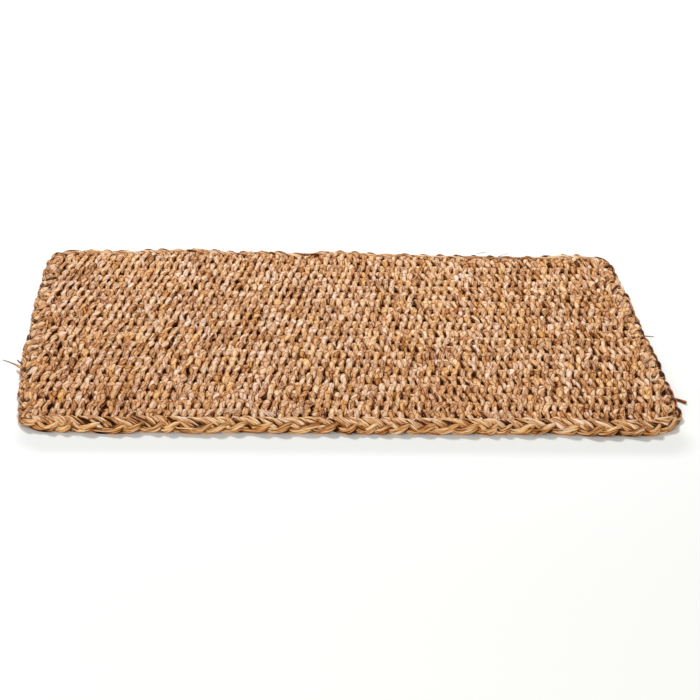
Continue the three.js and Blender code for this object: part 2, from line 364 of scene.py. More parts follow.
def straw_material(name, shades, golden_shades, roughness, gloss, blade_share, blade_scale):
    """Dry grass: fine fibres along the cord, broader blades with dark lines of painted shade in the
    creases between them, and a colour for each lump from its own tone and warmth. "blade_scale" is the
    number of blades to a metre of grain, across and along a cord."""
    material = bpy.data.materials.new(name)
    material.use_nodes = True
    tree = material.node_tree
    surface = tree.nodes["Principled BSDF"]
    surface.inputs["Roughness"].default_value = roughness
    surface.inputs["Specular IOR Level"].default_value = gloss

    grain = tree.nodes.new("ShaderNodeUVMap")
    grain.uv_map = "grain"

    def on_grain(pattern, scale):
        stretch = tree.nodes.new("ShaderNodeMapping")
        stretch.inputs["Scale"].default_value = (*scale, 1)
        wire(tree, grain.outputs["UV"], stretch.inputs["Vector"])
        pattern.inputs["Scale"].default_value = 1
        wire(tree, stretch.outputs["Vector"], pattern.inputs["Vector"])

    noise = tree.nodes.new("ShaderNodeTexNoise")
    noise.noise_dimensions = "2D"
    noise.inputs["Detail"].default_value = FIBRE_DETAIL
    on_grain(noise, FIBRE_SCALE)
    fibres = noise.outputs["Fac"]

    def blades(feature):
        cells = tree.nodes.new("ShaderNodeTexVoronoi")
        cells.voronoi_dimensions = "2D"
        cells.feature = feature
        on_grain(cells, blade_scale)
        return cells

    blade_colour = tree.nodes.new("ShaderNodeSeparateColor")
    wire(tree, blades("F1").outputs["Color"], blade_colour.inputs["Color"])
    edge_shade = tree.nodes.new("ShaderNodeMapRange")
    edge_shade.interpolation_type = "SMOOTHSTEP"
    edge_shade.inputs["From Max"].default_value = EDGE_REACH
    wire(tree, blades("DISTANCE_TO_EDGE").outputs["Distance"], edge_shade.inputs["Value"])
    edge = edge_shade.outputs["Result"]

    def sum_of(first, second, weight):
        blend = tree.nodes.new("ShaderNodeMath")
        blend.operation = "MULTIPLY_ADD"
        blend.inputs[1].default_value = weight
        wire(tree, first, blend.inputs[0])
        wire(tree, second, blend.inputs[2])
        return blend.outputs["Value"]

    def lump_value(label):
        attribute = tree.nodes.new("ShaderNodeAttribute")
        attribute.attribute_name = label
        return attribute.outputs["Fac"]

    tone = sum_of(blade_colour.outputs["Red"], lump_value("tone"), blade_share)
    tone = sum_of(edge, tone, EDGE_SHADE)
    tone = sum_of(fibres, tone, FIBRE_SHARE)
    centred = tree.nodes.new("ShaderNodeMath")
    centred.operation = "SUBTRACT"
    centred.inputs[1].default_value = MEAN_LIFT
    wire(tree, tone, centred.inputs[0])
    tone = centred.outputs["Value"]
    warmth = sum_of(blade_colour.outputs["Green"], lump_value("warmth"), BLADE_WARMTH)

    def ramp(colours):
        colour_ramp = tree.nodes.new("ShaderNodeValToRGB")
        elements = colour_ramp.color_ramp.elements
        for number, (place, colour) in enumerate(colours):
            element = elements[number] if number < 2 else elements.new(place)
            element.position = place
            element.color = (*colour, 1)
        wire(tree, tone, colour_ramp.inputs["Fac"])
        return colour_ramp.outputs["Color"]

    mix = tree.nodes.new("ShaderNodeMix")
    mix.data_type = "RGBA"
    wire(tree, warmth, mix.inputs["Factor"])
    wire(tree, ramp(shades), mix.inputs["A"])
    wire(tree, ramp(golden_shades), mix.inputs["B"])
    wire(tree, mix.outputs["Result"], surface.inputs["Base Color"])

    bump = tree.nodes.new("ShaderNodeBump")
    bump.inputs["Strength"].default_value = BUMP_STRENGTH
    bump.inputs["Distance"].default_value = BUMP_DEPTH
    wire(tree, sum_of(fibres, edge, FIBRE_RELIEF), bump.inputs["Height"])
    wire(tree, bump.outputs["Normal"], surface.inputs["Normal"])
    return material


# The cross cords are coloured nearly black: painted shadow for the deep gaps between the lumps, where
# they show.
PAINTED_SHADOW_SHADES = [
    (0.00, (0.012, 0.003, 0.001)),
    (0.25, (0.030, 0.008, 0.002)),
    (0.50, (0.060, 0.020, 0.006)),
    (0.75, (0.120, 0.050, 0.018)),
    (1.00, (0.200, 0.090, 0.035)),
]

shadow_straw = straw_material(
    "shadow straw", PAINTED_SHADOW_SHADES, PAINTED_SHADOW_SHADES,
    roughness=0.9, gloss=0.0, blade_share=0.30, blade_scale=(185, 19),
)

cross_rows = (np.arange(FIELD_ROWS) + 0.5) * ROW_PITCH - RUG_DEPTH / 2 + PLAIT_WIDTH
cross_x = np.linspace(-FIELD_HALF_WIDTH, FIELD_HALF_WIDTH, CROSS_CORD_STEPS)
cross_x, cross_y = np.meshgrid(cross_x, cross_rows)
cross_y = cross_y - row_wander(cross_x, cross_y)
cross_centres = np.stack([cross_x, cross_y, np.full_like(cross_x, FIELD_MIDDLE_HEIGHT)], axis=-1)
up = np.array([0.0, 0.0, 1.0])
cross_rings = straw_rings(
    cross_centres, up, CROSS_CORD_HALF_WIDTH, CROSS_CORD_HALF_HEIGHT, CROSS_CORD_SIDES, closed=False
)
cross_cords = cords_piece(
    "cross_cords", settled(cross_rings), closed=False,
    tone=0.5, warmth=0.3, girth=0.04, slant=0.3, material=shadow_straw,
)
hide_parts("woven_field")


# The woven field
# 148 thick cords of twisted grass run from front to back, over and under the cross cords, and
# stand up in plump lumps where they pass over. They end under the plait. They are four pieces.

CORDS = 148
STEPS_PER_ROW = 8
CORD_SIDES = 12
OUTER_CORD_INSET = 0.006
CORD_PITCH = 2 * (FIELD_HALF_WIDTH - OUTER_CORD_INSET) / (CORDS - 1)

# How far a cord rises and dips, mostly with flattened crests, and its half sizes at a lump and
# at the neck between two lumps. A lump is broadest a little behind its crest, in rows.
CORD_SWING = 0.0050
ROUND_CREST_SHARE = 0.15
LUMP_HALF_WIDTH = 0.0110
LUMP_HALF_HEIGHT = 0.0056
NECK_HALF_WIDTH = 0.0088
NECK_HALF_HEIGHT = 0.0086
NECK_POWER = 1.25
BROADEST_BEHIND_CREST = 0.12

# How much the lumps differ: in their place along the cord in rows, their breadth as a share,
# their height and their place sideways in metres, and their roll in radians.
ROW_SPREAD = 0.09
BREADTH_SPREAD = 0.10
HEIGHT_SPREAD = 0.0009
SHIFT_SPREAD = 0.0014
ROLL_SPREAD = 0.30

# The lumps all lean to the right at the left of the rug, and in pairs to both sides at its
# right. Each lean is a mean and its spread. "start" and "fade" say where the pairs take over.
LEAN_RIGHT = (0.0022, 0.0012)
LEAN_PAIRS = (0.0020, 0.0010)
PAIRS = {"start": -0.25, "fade": 0.6}
LEAN_SKEW = 0.5

# A cord's look changes from one lump to the next over this part of the way between them.
CHANGE = {"start": 0.32, "length": 0.36}

# The cords run on under the plait. They flatten and narrow over their last steps.
TUCK = 0.005
END_STEPS = 3
END_NARROWING = 0.25

# Each cord is laid from two plies, with a furrow between them that is painted darker, as painted shade.
PLIES = 2
PLY_RELIEF = 0.10
TWIST_LENGTH = 0.16
FURROW_SHADE = 0.26
FURROW_BREADTH = 0.40

# The tone and warmth of the lumps, each a mean and its spread, and the limits of both. The
# grass is a little redder to the right.
FIELD_TONE = (0.655, 0.030)
FIELD_TONE_LIMITS = (0.3, 0.95)
FIELD_WARMTH = (0.23, 0.20)
WARMTH_LIMITS = (-0.3, 1)
WARMER_TO_THE_RIGHT = 0.06

# The grass is a little darker towards the left, the right and the front.
DARKER_AREAS = [
    {"x": -1, "y": 0, "start": 0.60, "fade": 0.25, "dark": 0.050},
    {"x": 1, "y": 0, "start": 0.40, "fade": 0.40, "dark": 0.035},
    {"x": 0, "y": -1, "start": 0.15, "fade": 0.30, "dark": 0.040},
]

# The lowest parts of the cords are in shade: how dark, and over which part of their swing.
HOLLOW_DARK = 0.36
HOLLOW_SWING = {"lowest": -0.95, "length": 0.50}

# No grass lies lower than this over the floor.
LEAST_HEIGHT = 0.0002

# The plait lies flat along the front. It leans outward along the sides, and more along the
# back. "cover" is how much of its breadth shows from above, inward of the pivot, and "rise"
# how much of its height.
PLAIT_PIVOT = 0.016
PLAIT_LEAN = {
    "front": {"cover": 1.00, "rise": 1.00},
    "side": {"cover": 0.66, "rise": 0.97},
    "back": {"cover": 0.40, "rise": 0.80},
}

# The corners of the rug, counter-clockwise from the front left, with the outer radius that the
# plait turns in.
CORNERS = [
    {"x": -1, "y": -1, "radius": 0.076},
    {"x": 1, "y": -1, "radius": 0.110},
    {"x": 1, "y": 1, "radius": 0.056},
    {"x": -1, "y": 1, "radius": 0.080},
]

# The colours of pale and of golden grass, from its darkest to its lightest tone.
PALE_SHADES = [
    (0.00, (0.036, 0.006, 0.001)),
    (0.25, (0.33, 0.110, 0.021)),
    (0.50, (0.59, 0.308, 0.165)),
    (0.75, (0.80, 0.530, 0.370)),
    (1.00, (0.91, 0.735, 0.625)),
]
GOLDEN_SHADES = [
    (0.00, (0.042, 0.007, 0.001)),
    (0.25, (0.39, 0.125, 0.018)),
    (0.50, (0.68, 0.312, 0.098)),
    (0.75, (0.85, 0.495, 0.205)),
    (1.00, (0.92, 0.665, 0.380)),
]

field_straw = straw_material(
    "field straw", PALE_SHADES, GOLDEN_SHADES,
    roughness=0.70, gloss=0.06, blade_share=0.50, blade_scale=(132, 30),
)

# One source of chance makes the whole rug, so that it comes out the same each time.
CHANCE_START = 1812
chance = np.random.default_rng(CHANCE_START)

cord_x = (np.arange(CORDS) - (CORDS - 1) / 2) * CORD_PITCH


def plait_line(share):
    """The plait's middle line, counter-clockwise from the front left corner: the place at a
    share of its length, and the way outward from it."""
    stretches = []
    for turn, corner in enumerate(CORNERS):
        centre = np.array([
            corner["x"] * (RUG_LENGTH / 2 - corner["radius"]),
            corner["y"] * (RUG_DEPTH / 2 - corner["radius"]),
        ])
        radius = corner["radius"] - PLAIT_WIDTH / 2
        start = math.pi * (1 + turn / 2)
        after = CORNERS[(turn + 1) % len(CORNERS)]
        whole_side = RUG_LENGTH if turn % 2 == 0 else RUG_DEPTH
        straight = whole_side - corner["radius"] - after["radius"]
        bend = {"centre": centre, "radius": radius}
        stretches.append({**bend, "length": radius * math.pi / 2, "start": start})
        stretches.append({**bend, "length": straight, "start": start + math.pi / 2})
    ends = np.cumsum([stretch["length"] for stretch in stretches])
    distance = (share % 1) * ends[-1]
    place = np.zeros((*share.shape, 2))
    outward = np.zeros((*share.shape, 2))
    for number, stretch in enumerate(stretches):
        begin = ends[number] - stretch["length"]
        within = (distance >= begin) & (distance < ends[number])
        past = (distance - begin)[within]
        if number % 2 == 0:
            angle = stretch["start"] + past / stretch["radius"]
            run = np.zeros_like(past)
        else:
            angle = np.full_like(past, stretch["start"])
            run = past
        out = np.stack([np.cos(angle), np.sin(angle)], axis=-1)
        along = np.stack([-out[:, 1], out[:, 0]], axis=-1)
        place[within] = stretch["centre"] + out * stretch["radius"] + along * run[:, None]
        outward[within] = out
    return place, outward


def leaning(outward, quality):
    """How much of the plait's "cover" or "rise" is left where it faces a way outward."""
    end = np.where(outward[..., 1] < 0, PLAIT_LEAN["front"][quality], PLAIT_LEAN["back"][quality])
    side = PLAIT_LEAN["side"][quality]
    return side + (end - side) * outward[..., 1] ** 2


def inner_edge(outward):
    """How far outward of the plait's middle line its inner edge lies."""
    return -PLAIT_WIDTH / 2 + (1 - leaning(outward, "cover")) * (PLAIT_PIVOT + PLAIT_WIDTH / 2)


# The places along the plait that are tried for its inner edge, and the least that they lie
# inside the field's left and right edges.
EDGE_SAMPLES = 2000
SAMPLE_INSET = 0.0001


def cord_end(x, end):
    """How far towards the front or back edge the field reaches at x, round the corners."""
    line, outward = plait_line(np.linspace(0, 1, EDGE_SAMPLES, endpoint=False))
    edge = line + outward * inner_edge(outward)[:, None]
    near = (edge[:, 1] * end > 0) & (np.abs(edge[:, 0]) < FIELD_HALF_WIDTH - SAMPLE_INSET)
    order = np.argsort(edge[near, 0])
    return np.interp(x, edge[near, 0][order], edge[near, 1][order]) + end * TUCK


steps = STEPS_PER_ROW * (FIELD_ROWS + 1)
share = np.linspace(0, 1, steps + 1)
cord_y = cord_end(cord_x, -1)[:, None] * (1 - share) + cord_end(cord_x, 1)[:, None] * share
cord_x = np.repeat(cord_x[:, None], steps + 1, axis=1)

# Each cord has a lump for every second row, and some to spare past its two ends.
SPARE_LUMPS = 4
lumps = (CORDS, FIELD_ROWS // 2 + SPARE_LUMPS)
parity = np.arange(CORDS)[:, None] % 2


def off_floor(rings):
    """Cords that would sink into the floor are pressed flat just over it."""
    rings[..., 2] = np.maximum(rings[..., 2], LEAST_HEIGHT)
    return rings


def over_lumps(values, row):
    """A value of each lump, changed to the next lump's where the cord dips out of sight."""
    place = (row + parity) / 2 + 1
    number = np.clip(np.floor(place).astype(int), 0, values.shape[1] - 2)
    step = smooth_step((place - number - CHANGE["start"]) / CHANGE["length"])
    cord = np.arange(len(values))[:, None]
    return values[cord, number] * (1 - step) + values[cord, number + 1] * step


row = (cord_y + RUG_DEPTH / 2 - PLAIT_WIDTH + row_wander(cord_x, cord_y)) / ROW_PITCH - 0.5
row = row + over_lumps(chance.normal(0, ROW_SPREAD, lumps), row)
wave = np.cos(math.pi * (row + parity))
swing = ROUND_CREST_SHARE * wave + (1 - ROUND_CREST_SHARE) * np.sin(math.pi / 2 * wave)
fullness = np.abs(swing)
breadth = np.abs(np.sin(math.pi / 2 * np.cos(math.pi * (row + parity - BROADEST_BEHIND_CREST))))

plumpness = over_lumps(chance.normal(1, BREADTH_SPREAD, lumps), row)
lift = over_lumps(chance.normal(0, HEIGHT_SPREAD, lumps), row)
shift = over_lumps(chance.normal(0, SHIFT_SPREAD, lumps), row)
roll = over_lumps(chance.normal(0, ROLL_SPREAD, lumps), row)
lean_right = over_lumps(chance.normal(*LEAN_RIGHT, lumps), row)
lean_pairs = over_lumps(chance.normal(*LEAN_PAIRS, lumps), row) * (2 * parity - 1)
to_the_right = smooth_step((cord_x - PAIRS["start"]) / PAIRS["fade"])
lean = lean_right * (1 - to_the_right) + lean_pairs * to_the_right

turn = math.pi * (row + parity)
centre_x = cord_x + shift + lean * (np.sin(turn) + LEAN_SKEW * np.sin(2 * turn))
centre_z = FIELD_MIDDLE_HEIGHT + CORD_SWING * swing + lift * fullness
half_width = NECK_HALF_WIDTH + (LUMP_HALF_WIDTH * plumpness - NECK_HALF_WIDTH) * breadth**NECK_POWER
half_height = NECK_HALF_HEIGHT + (LUMP_HALF_HEIGHT - NECK_HALF_HEIGHT) * fullness
near_end = smooth_step(np.minimum(share, 1 - share) * steps / END_STEPS)[None]
centre_z = FIELD_MIDDLE_HEIGHT * (1 - near_end) + centre_z * near_end
half_width = half_width * (1 - END_NARROWING + END_NARROWING * near_end)

centres = np.stack([centre_x, cord_y, centre_z], axis=-1)
facing = np.stack([np.sin(roll), np.zeros_like(roll), np.cos(roll)], axis=-1)
twist = chance.uniform(0, 2 * math.pi, (CORDS, 1)) + 2 * math.pi * cord_y / TWIST_LENGTH
field_rings = straw_rings(
    centres, facing, half_width, half_height, CORD_SIDES, closed=False,
    relief=PLY_RELIEF, twist=twist, plies=PLIES,
)
ply_turn = PLIES * (2 * math.pi * np.arange(CORD_SIDES) / CORD_SIDES) + twist[..., None]
furrow = FURROW_SHADE * smooth_step((-np.cos(ply_turn) - (1 - FURROW_BREADTH)) / FURROW_BREADTH)
field_rings = settled(off_floor(field_rings))

field_tone = over_lumps(np.clip(chance.normal(*FIELD_TONE, lumps), *FIELD_TONE_LIMITS), row)
for area in DARKER_AREAS:
    towards = area["x"] * cord_x + area["y"] * cord_y
    field_tone = field_tone - area["dark"] * smooth_step((towards - area["start"]) / area["fade"])
field_warmth = over_lumps(np.clip(chance.normal(*FIELD_WARMTH, lumps), *WARMTH_LIMITS), row)
field_warmth = field_warmth + WARMER_TO_THE_RIGHT * cord_x
hollow = 1 - smooth_step((swing - HOLLOW_SWING["lowest"]) / HOLLOW_SWING["length"])
field_tone = field_tone - HOLLOW_DARK * hollow

# Every second cord rises where the others dip, so the field is two layers of cords that
# cross each other. Each layer spans the whole field, and is split at the rug's middle.
for layer, cords in (("odd", np.arange(0, CORDS, 2)), ("even", np.arange(1, CORDS, 2))):
    for side, band in zip(("left", "right"), np.array_split(cords, 2)):
        piece = cords_piece(
            f"field_{layer}_cords_{side}", field_rings[band], closed=False,
            tone=field_tone[band], warmth=field_warmth[band], girth=0.036, slant=0.12,
            material=field_straw, groove_shade=0.66, seam_shade=furrow[band],
        )
        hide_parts("woven_field")


# The border plait
# Three thick strands of golden grass are plaited together and laced to the field all round.
# Each strand is a bundle of three cords, and joins up with itself after going round the rug.

PLAIT_LUMPS = 102
PLAIT_PHASE = 0.65
STRANDS = 3
BUNDLE_CORDS = 3
STATIONS_PER_LUMP = 12
BUNDLE_SIDES = 12

# A strand's cords: their half width as a share of "spread", with what is added to it on top in
# front and along the sides, their half height, how far each lags behind the next, how much
# lower the outer two lie, their twist in turns to the lump, and their relief.
BUNDLE_WIDTH_SHARE = 0.54
FRONT_WIDER = 0.17
SIDE_WIDER = 0.30
BUNDLE_HALF_HEIGHT = 0.0052
BUNDLE_STAGGER = 0.09
OUTER_CORDS_LOWER = 0.0008
BUNDLE_TWIST = 0.5
BUNDLE_RELIEF = 0.05

# Along the sides the plait lies lower, its cords are closer together on top, and thicker where
# they face outward. The folded ends that cover it there keep the light off it.
SIDE_SINK = 0.11
SIDE_CLOSER = 0.35
SIDE_THICKER = 0.20
COVERED_DARK = 0.32
COVERED_START = 0.90
COVERED_FADE = 0.10

# Painted shade darkens the tone where a strand dives under another, at two places of its course. Along
# the sides it darkens less.
PLAIT_TONE = 0.620
DIVES = (1.35, 2.82)
DIVE_LENGTH = 0.13
DIVE_SHADE = 0.70
SIDE_DIVE_LIGHTER = 0.54

# The grass is redder in front, and more so on the plait's outer face.
PLAIT_WARMTH = 0.32
FRONT_WARMER = 0.10
OUTER_FACE_WARMER = 0.32
PLAIT_WARMTH_LIMITS = (-0.2, 1)

# A strand's course across the plait while it passes three lumps: over the top from the inner
# edge, down behind the outer strand, up over the outer face, and back under the other two.
# The rows are a quarter of a lump apart. "facing" is the way that its flat side looks, in
# degrees: 90 is up and 0 is outward. "spread" is how far apart its cords lie, and "full" how
# plump they are.
STRAND_COURSE = [
    {"across": -0.0275, "height": 0.0140, "facing": 132, "spread": 0.0078, "full": 0.85},
    {"across": -0.0220, "height": 0.0198, "facing": 108, "spread": 0.0104, "full": 1.00},
    {"across": -0.0120, "height": 0.0212, "facing": 95, "spread": 0.0114, "full": 1.05},
    {"across": -0.0005, "height": 0.0202, "facing": 84, "spread": 0.0108, "full": 1.05},
    {"across": 0.0105, "height": 0.0170, "facing": 66, "spread": 0.0086, "full": 0.95},
    {"across": 0.0135, "height": 0.0105, "facing": 40, "spread": 0.0050, "full": 0.70},
    {"across": 0.0162, "height": 0.0072, "facing": 10, "spread": 0.0052, "full": 0.90},
    {"across": 0.0186, "height": 0.0066, "facing": 0, "spread": 0.0060, "full": 1.05},
    {"across": 0.0200, "height": 0.0086, "facing": 0, "spread": 0.0070, "full": 1.15},
    {"across": 0.0198, "height": 0.0130, "facing": 14, "spread": 0.0082, "full": 1.40},
    {"across": 0.0160, "height": 0.0162, "facing": 45, "spread": 0.0076, "full": 1.30},
    {"across": -0.0030, "height": 0.0100, "facing": 95, "spread": 0.0050, "full": 0.75},
]


def on_course(column, lump):
    """A column of the strand's course, carried smoothly through its rows."""
    values = np.array([row[column] for row in STRAND_COURSE])
    place = lump / STRANDS * len(values)
    number = np.floor(place).astype(int)
    part = place - number
    a, b, c, d = (values[(number + offset) % len(values)] for offset in (-1, 0, 1, 2))
    return b + 0.5 * part * (c - a + part * (2 * a - 5 * b + 4 * c - d + part * (3 * (b - c) + d - a)))


plait_straw = straw_material(
    "plait straw", PALE_SHADES, GOLDEN_SHADES,
    roughness=0.55, gloss=0.08, blade_share=0.50, blade_scale=(150, 20),
)

plait_stations = PLAIT_LUMPS * STATIONS_PER_LUMP
lump = np.arange(plait_stations) / STATIONS_PER_LUMP
line, outward = plait_line(lump / PLAIT_LUMPS)


def slow_noise(count, stations_apart, size):
    """A slow random wandering along the closed plait, for each of some cords. It takes a new
    value every so many stations, and "size" is how much the values spread."""
    knots = chance.normal(0, size, (count, plait_stations // stations_apart))
    place = np.arange(plait_stations) / stations_apart
    number = np.floor(place).astype(int)
    step = smooth_step(place - number)
    here = knots[:, number % knots.shape[1]]
    there = knots[:, (number + 1) % knots.shape[1]]
    return here * (1 - step) + there * step


wobble = slow_noise(1, stations_apart=18, size=0.15)
cover = leaning(outward, "cover") * (1 + slow_noise(1, stations_apart=36, size=0.05))
sideness = np.abs(outward[:, 0])
rise_left = leaning(outward, "rise") * (1 - SIDE_SINK * sideness)
frontness = np.clip(-outward[:, 1], 0, 1)
covered = smooth_step((sideness - COVERED_START) / COVERED_FADE)
for strand in range(STRANDS):
    order = (np.arange(BUNDLE_CORDS) - (BUNDLE_CORDS - 1) / 2)[:, None]
    drift = slow_noise(BUNDLE_CORDS, stations_apart=9, size=0.045)
    drift = drift + slow_noise(1, stations_apart=18, size=0.10)
    course = (lump + strand + PLAIT_PHASE + wobble + drift + BUNDLE_STAGGER * order) % STRANDS
    across = on_course("across", course)
    height = on_course("height", course)
    look = np.radians(on_course("facing", course))
    out, rise = np.cos(look), np.sin(look)
    on_top = np.clip(rise, 0, 1)
    outer_face = np.clip(out, 0, 1)
    spread = on_course("spread", course) * (1 - SIDE_CLOSER * sideness * on_top)
    side_step = order * spread * (1 + slow_noise(BUNDLE_CORDS, stations_apart=12, size=0.16))
    raised = -np.abs(order) * OUTER_CORDS_LOWER
    raised = raised + slow_noise(BUNDLE_CORDS, stations_apart=6, size=0.0013)
    cord_across = across + side_step * rise + raised * out
    cord_across = cord_across + (1 - cover) * np.maximum(PLAIT_PIVOT - cord_across, 0)
    cord_height = (height - side_step * out + raised * rise) * rise_left
    centres = np.concatenate(
        [line[None] + outward[None] * cord_across[..., None], cord_height[..., None]], axis=-1
    )
    facing = np.concatenate([outward[None] * out[..., None], rise[..., None]], axis=-1)
    twist = chance.uniform(0, 2 * math.pi, (BUNDLE_CORDS, 1)) + 2 * math.pi * lump * BUNDLE_TWIST
    width_share = BUNDLE_WIDTH_SHARE + FRONT_WIDER * on_top * frontness + SIDE_WIDER * sideness
    width = spread * width_share * (1 + slow_noise(BUNDLE_CORDS, stations_apart=6, size=0.17))
    thickness = BUNDLE_HALF_HEIGHT * on_course("full", course)
    thickness = thickness * (1 + SIDE_THICKER * sideness * outer_face)
    rings = straw_rings(
        centres, facing, width, thickness, BUNDLE_SIDES, closed=True, relief=BUNDLE_RELIEF, twist=twist
    )
    # Painted shade where the strand dives under another.
    dive_shade = sum(np.exp(-(((course - place) / DIVE_LENGTH) ** 2)) for place in DIVES)
    tone = PLAIT_TONE + slow_noise(BUNDLE_CORDS, stations_apart=6, size=0.20)
    tone = tone - DIVE_SHADE * dive_shade * (1 - SIDE_DIVE_LIGHTER * sideness)
    tone = tone - COVERED_DARK * covered * on_top
    warmth = PLAIT_WARMTH + frontness * (FRONT_WARMER + OUTER_FACE_WARMER * outer_face)
    warmth = warmth + slow_noise(BUNDLE_CORDS, stations_apart=12, size=0.22)
    piece = cords_piece(
        f"plait_strand_{strand + 1}", settled(off_floor(rings)), closed=True,
        tone=tone, warmth=np.clip(warmth, *PLAIT_WARMTH_LIMITS), girth=0.034, slant=0.12,
        material=plait_straw, groove_shade=0.75,
    )
    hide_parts("border_plait")


# The edge lumps
# Short thick ends of cord lie along the plait's inner edge, where the lacing pulls the field's
# last lumps together. They are bent over the seam, and some are pale, frayed or nearly loose.

EDGE_LUMPS = 170
SHORT_STEPS = 7
SHORT_SIDES = 8
SHORT_RELIEF = 0.08
TIP_SHARE = 0.22

# The limits of what differs evenly from lump to lump.
EDGE_STAGGER = (-0.3, 0.3)
EDGE_HALF_LENGTH = (0.007, 0.012)
EDGE_HEIGHT = (0.0165, 0.0195)
EDGE_HALF_WIDTH = (0.0042, 0.0062)
EDGE_HALF_HEIGHT = (0.0032, 0.0042)

# The mean and the spread of what differs round a middle value.
EDGE_INSET = (-0.002, 0.003)
EDGE_TURN = (0.45, 0.55)
EDGE_BOW = (0, 0.002)
EDGE_TONE = (0.66, 0.13)
EDGE_WARMTH = (0.30, 0.30)

# A lump starts this much lower than it ends.
EDGE_SLOPE = 0.003


def bent_straws(start, end, bow, half_width, half_height, blunt, steps=SHORT_STEPS, sides=SHORT_SIDES):
    """The rings of short straws that run from start to end with a bow sideways. Their ends are
    rounded off to a share of their thickness, more suddenly the smaller "blunt" is."""
    share = np.linspace(0, 1, steps)[None, :, None]
    along = end - start
    sideways = np.stack([-along[:, 1], along[:, 0], np.zeros(len(along))], axis=-1)
    sideways = sideways / np.linalg.norm(sideways, axis=-1, keepdims=True)
    bulge = sideways[:, None] * (4 * share * (1 - share)) * np.asarray(bow)[:, None, None]
    centres = start[:, None] * (1 - share) + end[:, None] * share + bulge
    plump = TIP_SHARE + (1 - TIP_SHARE) * np.sin(math.pi * share[..., 0]) ** blunt
    facing = np.broadcast_to(up, centres.shape)
    wide = np.asarray(half_width)[:, None] * plump
    tall = np.asarray(half_height)[:, None] * plump
    rings = straw_rings(centres, facing, wide, tall, sides, closed=False, relief=SHORT_RELIEF)
    return off_floor(rings)


edge_share = (np.arange(EDGE_LUMPS) + chance.uniform(*EDGE_STAGGER, EDGE_LUMPS)) / EDGE_LUMPS
edge_line, edge_outward = plait_line(edge_share)
edge_inner = inner_edge(edge_outward) + chance.normal(*EDGE_INSET, EDGE_LUMPS)
edge_place = edge_line + edge_outward * edge_inner[:, None]
edge_turn = chance.normal(*EDGE_TURN, EDGE_LUMPS)
edge_half = chance.uniform(*EDGE_HALF_LENGTH, EDGE_LUMPS)
edge_reach = np.stack([np.sin(edge_turn), np.cos(edge_turn)], axis=-1) * edge_half[:, None]
edge_height = chance.uniform(*EDGE_HEIGHT, EDGE_LUMPS)[:, None]
edge_rings = bent_straws(
    start=np.concatenate([edge_place - edge_reach, edge_height - EDGE_SLOPE], axis=-1),
    end=np.concatenate([edge_place + edge_reach, edge_height], axis=-1),
    bow=chance.normal(*EDGE_BOW, EDGE_LUMPS),
    half_width=chance.uniform(*EDGE_HALF_WIDTH, EDGE_LUMPS),
    half_height=chance.uniform(*EDGE_HALF_HEIGHT, EDGE_LUMPS),
    blunt=0.5,
)
edge_tone = chance.normal(*EDGE_TONE, (EDGE_LUMPS, 1))
edge_warmth = np.clip(chance.normal(*EDGE_WARMTH, (EDGE_LUMPS, 1)), *WARMTH_LIMITS)
edge_lumps = cords_piece(
    "edge_lumps", settled(edge_rings), closed=False,
    tone=edge_tone, warmth=edge_warmth, girth=0.030, slant=0.10, material=field_straw, groove_shade=0.25,
)
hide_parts("border_plait")


# The side lumps
# Along the two sides, thick ends of the plait's grass are folded over it in three rows of
# plump lumps, like the field's. Only at the front left do the plait's own round lumps show.

SIDE_LUMP_STEPS = 11
SIDE_LUMP_SIDES = 12

# A folded end as it lies in most rows. "step" is the way to the next one, "wide", "long" and
# "tall" are half sizes, and "lean" is how far it turns to the right, in radians.
FOLDED_END = {
    "step": 2 * ROW_PITCH, "wide": 0.0106, "long": 0.034, "tall": 0.0058,
    "lean": 0.26, "tone": 0.68, "warmth": 0.32,
}

# "way" is -1 for the left side and 1 for the right, where the ends lean both ways in turn.
# "inside" is how far a row lies inside the rug's edge. The last two rows are the plait's own
# round lumps and the golden strand inside them, near the front left corner.
SIDE_LUMP_ROWS = [
    {"way": -1, "inside": 0.0310, "height": 0.0205, "front": -0.290, "back": 0.500},
    {"way": -1, "inside": 0.0200, "height": 0.0212, "front": -0.240, "back": 0.500},
    {"way": -1, "inside": 0.0115, "height": 0.0185, "front": -0.200, "back": 0.500, "wide": 0.0090},
    {"way": 1, "inside": 0.0310, "height": 0.0205, "front": -0.465, "back": 0.520, "lean": 0.15},
    {"way": 1, "inside": 0.0200, "height": 0.0212, "front": -0.413, "back": 0.520, "lean": 0.15},
    {"way": 1, "inside": 0.0115, "height": 0.0185, "front": -0.465, "back": 0.520, "lean": 0.15,
     "wide": 0.0090},
    {"way": -1, "inside": 0.0145, "height": 0.0170, "front": -0.490, "back": -0.230, "lean": 0.05,
     "step": 0.062, "wide": 0.0120, "tall": 0.0090, "tone": 0.64, "warmth": 0.50},
    {"way": -1, "inside": 0.0330, "height": 0.0205, "front": -0.480, "back": -0.290, "lean": 0.12,
     "step": 0.052, "wide": 0.0080, "tall": 0.0065, "tone": 0.60, "warmth": 0.75},
]

# How much the folded ends differ, and the mean and the spread of their bow.
FOLDED_SPREAD = {
    "along": 0.006, "across": 0.0016, "height": 0.0008, "lean": 0.10,
    "size": 0.10, "tone": 0.06, "warmth": 0.20,
}
FOLDED_BOW = (0.001, 0.002)

# Both tips of a folded end are pressed down, and lie in shade.
FOLDED_ARCH = 0.0095
TIP_DARK = 0.40
TIP_SHADE = {"start": 0.35, "length": 0.45}

